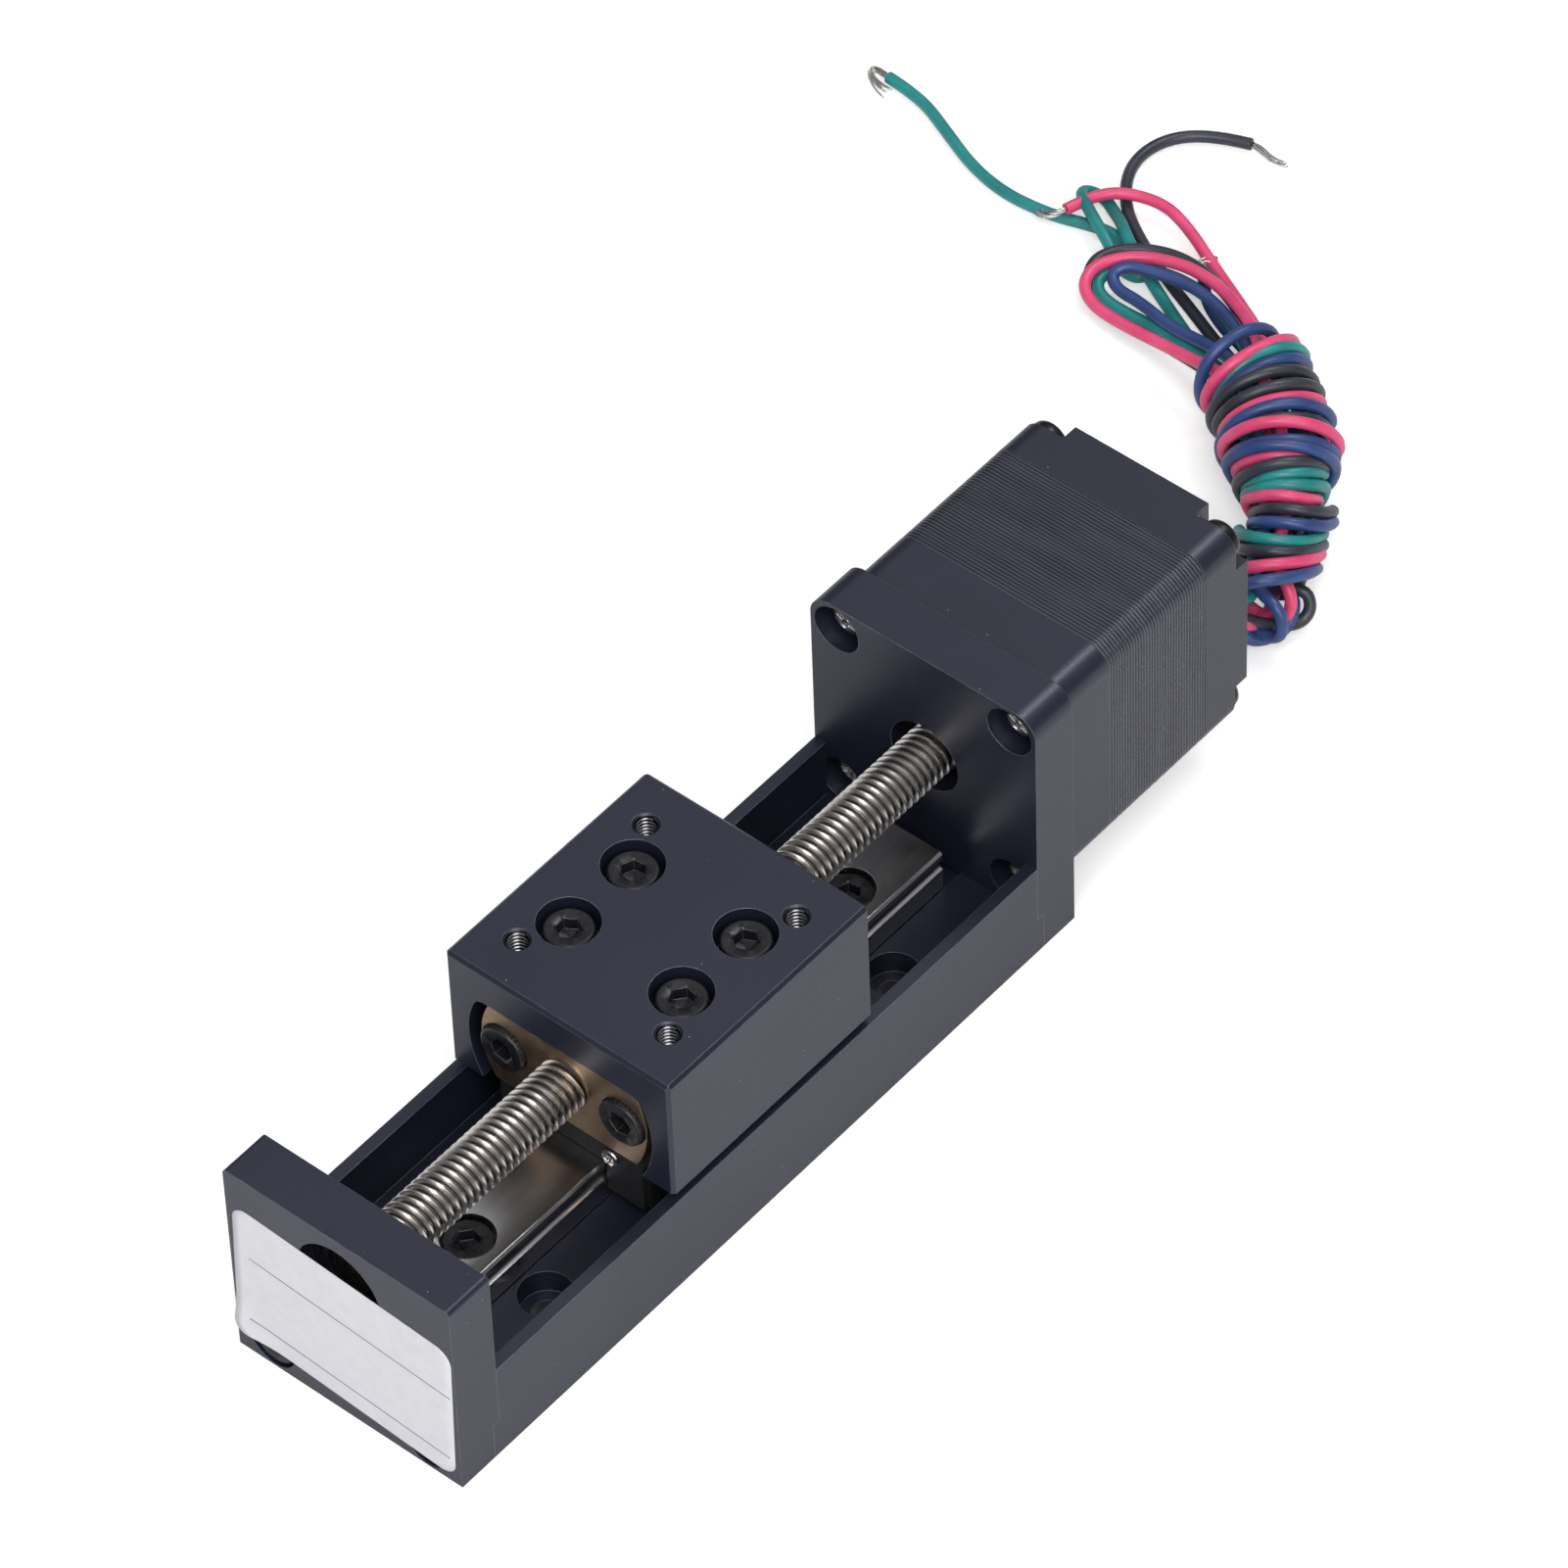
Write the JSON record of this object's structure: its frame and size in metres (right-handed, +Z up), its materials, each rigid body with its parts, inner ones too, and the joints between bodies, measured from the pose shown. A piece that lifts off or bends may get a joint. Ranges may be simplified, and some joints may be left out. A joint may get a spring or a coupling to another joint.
{
  "type": "screw linear module",
  "caption": "Motor-driven screw linear module with a rail-guided carriage in an open channel and flying motor leads.",
  "frame": {"origin": "centre of the box of the module without its flying leads, at the underside of the base", "axes": "+X along the screw from the front plate to the motor, +Y across, +Z up from the mounting surface"},
  "size_m": [0.2005, 0.0982, 0.0348],
  "materials": {
    "black_anodised": "black anodised, fine matte grain, thin bright edges",
    "black_screw": "black oxide alloy steel, semi-gloss",
    "bright_screw": "plain zinc-bright steel",
    "label_paper": "off-white coated paper with thin ruled lines",
    "ground_steel": "ground hardened steel",
    "guide_plastic": "green-black moulded plastic",
    "seal_rubber": "matte black rubber",
    "bearing_steel": "polished bearing steel",
    "bronze": "turned bronze, brown-gold",
    "screw_steel": "rolled stainless thread, bright",
    "motor_black": "black painted die-cast aluminium, satin",
    "lamination_steel": "black painted stack of sheets, fine lines across",
    "copper_wire": "enamelled copper",
    "magnet": "sintered magnet, dull grey",
    "green_insulation": "teal green wire insulation, semi-gloss",
    "black_insulation": "black wire insulation, semi-gloss",
    "red_insulation": "pink-red wire insulation, semi-gloss",
    "blue_insulation": "navy blue wire insulation, semi-gloss",
    "mixed_insulation": "wrapped wires of four colours",
    "tinned_strand": "tinned copper strands"
  },
  "bodies": {
    "root": {"base_channel": "black_anodised", "front_plate": "black_anodised", "front_plate_screws": "black_screw", "label": "label_paper", "motor_plate": "black_anodised", "motor_plate_screws": "black_screw", "motor_screws": "bright_screw", "guide_rail": "ground_steel", "rail_screws": "black_screw", "front_bearing_outer_ring": "bearing_steel", "front_bearing_balls": "bearing_steel", "front_bearing_seal": "seal_rubber", "motor_front_cap": "motor_black", "stator_stack": "lamination_steel", "stator_windings": "copper_wire", "motor_rear_cap": "motor_black", "motor_front_bearing_outer_ring": "bearing_steel", "motor_front_bearing_balls": "bearing_steel", "motor_rear_bearing_outer_ring": "bearing_steel", "motor_rear_bearing_balls": "bearing_steel", "wave_washer": "bearing_steel", "motor_tie_screws": "black_screw", "wire_grommet": "seal_rubber", "green_lead": "green_insulation", "black_lead": "black_insulation", "red_lead": "red_insulation", "blue_lead": "blue_insulation", "wire_hank": "mixed_insulation", "green_loop": "green_insulation", "black_loop": "black_insulation", "red_loop": "red_insulation", "blue_loop": "blue_insulation", "green_tail": "green_insulation", "black_tail": "black_insulation", "red_tail": "red_insulation", "blue_tail": "blue_insulation", "bare_strands": "tinned_strand"},
    "carriage_unit": {"carriage": "black_anodised", "carriage_screws": "black_screw", "flange_nut": "bronze", "nut_screws": "black_screw", "guide_block": "ground_steel", "block_front_cap": "guide_plastic", "block_rear_cap": "guide_plastic", "block_front_seal": "seal_rubber", "block_rear_seal": "seal_rubber", "block_front_screws": "bright_screw", "block_rear_screws": "bright_screw", "guide_balls": "bearing_steel"},
    "screw_unit": {"lead_screw": "screw_steel", "front_bearing_inner_ring": "bearing_steel", "motor_front_bearing_inner_ring": "bearing_steel", "motor_rear_bearing_inner_ring": "bearing_steel", "rotor_front_core": "lamination_steel", "rotor_rear_core": "lamination_steel", "rotor_magnet": "magnet"}
  },
  "joints": [
    {"name": "screw_spin", "type": "hinge", "parent": "root", "child": "screw_unit", "pos_m": [-0.01499, 0, 0.02], "axis": [1, 0, 0], "range_deg": [-4393, 4645]},
    {"name": "carriage_slide", "type": "slide", "parent": "root", "child": "carriage_unit", "axis": [1, 0, 0], "range_m": [-0.0258, 0.0244]}
  ],
  "couplings": [
    {"joint": "screw_spin", "follows": "carriage_slide", "rad_per_m": -3141.6}
  ]
}
